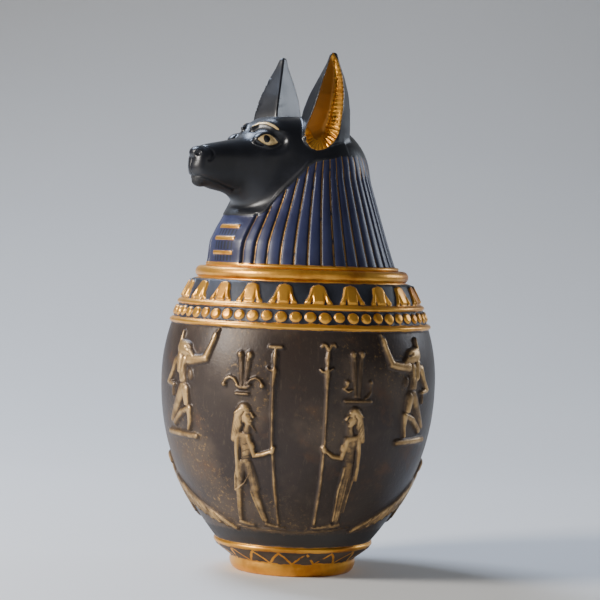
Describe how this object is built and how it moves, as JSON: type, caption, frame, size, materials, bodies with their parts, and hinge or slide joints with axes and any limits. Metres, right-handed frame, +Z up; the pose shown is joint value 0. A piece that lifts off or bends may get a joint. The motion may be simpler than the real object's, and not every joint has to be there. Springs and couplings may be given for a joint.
{
  "type": "canopic jar",
  "caption": "Hollow round-bellied canopic jar on a small foot, with bands of ornament and relief figures, closed by a lift-off jackal-head lid with a plug.",
  "frame": {"origin": "centre of the foot's flat underside", "axes": "+Z up along the jar's axis, -Y the way the jackal's head faces, +X to the head's left"},
  "size_m": [0.139, 0.1384, 0.2562],
  "materials": {
    "jar_resin": "painted cast resin, dark bronze patina with gilded bands",
    "lid_resin": "painted cast resin, satin black face and deep blue headcloth with gold lines"
  },
  "bodies": {
    "root": {"jar": "jar_resin", "lid": "lid_resin"}
  },
  "joints": []
}
